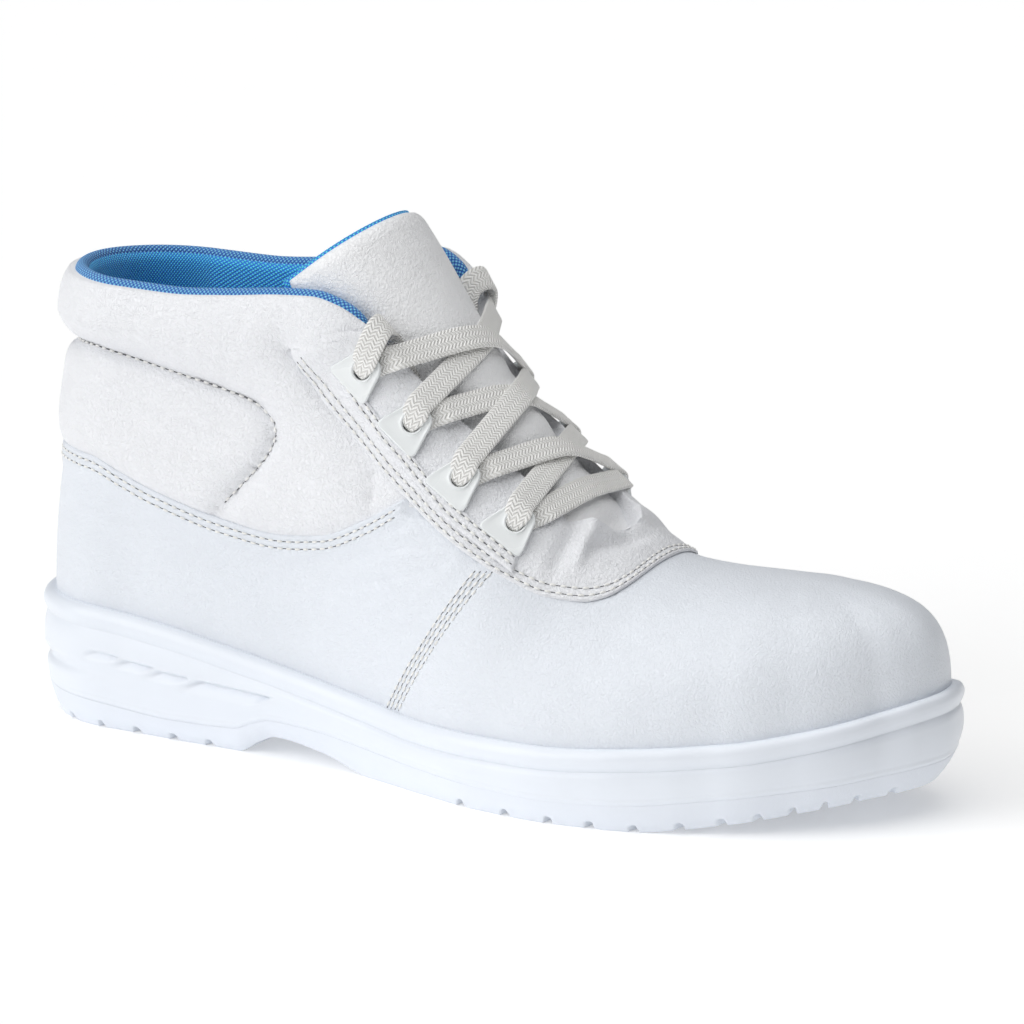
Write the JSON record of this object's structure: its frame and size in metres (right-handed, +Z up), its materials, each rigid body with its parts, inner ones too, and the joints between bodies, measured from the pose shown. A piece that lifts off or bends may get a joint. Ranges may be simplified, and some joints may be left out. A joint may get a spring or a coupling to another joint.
{
  "type": "lace-up safety boot",
  "caption": "White ankle-high lace-up safety boot with a round toe, padded collar, blue mesh lining, moulded lace tabs and a moulded sole with a lugged tread.",
  "frame": {"origin": "middle of the boot's outline, on the plane that the tread stands on", "axes": "+X from heel to toe, +Y to the wearer's left (the medial side), +Z up"},
  "size_m": [0.3034, 0.1056, 0.1642],
  "materials": {
    "sole": "moulded polyurethane, satin",
    "tread": "moulded polyurethane, matt",
    "footbed": "woven footbed cover",
    "upper": "pebbled microfibre, satin",
    "soft_leather": "soft crinkled leather, satin",
    "lining": "spacer mesh",
    "tab": "moulded, gloss",
    "lace": "flat herringbone weave"
  },
  "bodies": {
    "root": {"outsole": "tread", "midsole": "sole", "insole": "footbed", "upper": "upper", "collar": "soft_leather", "collar_binding": "lining", "facing": "soft_leather", "eyelet_strip_lateral": "soft_leather", "eyelet_strip_medial": "soft_leather", "tongue": "soft_leather", "eyelet_lateral_1": "tab", "eyelet_lateral_2": "tab", "eyelet_lateral_3": "tab", "eyelet_lateral_4": "tab", "eyelet_medial_1": "tab", "eyelet_medial_2": "tab", "eyelet_medial_3": "tab", "eyelet_medial_4": "tab", "lace_bar": "lace", "lace_crossing_1": "lace", "lace_crossing_2": "lace", "lace_crossing_3": "lace", "lace_end_lateral": "lace", "lace_end_medial": "lace"}
  },
  "joints": []
}
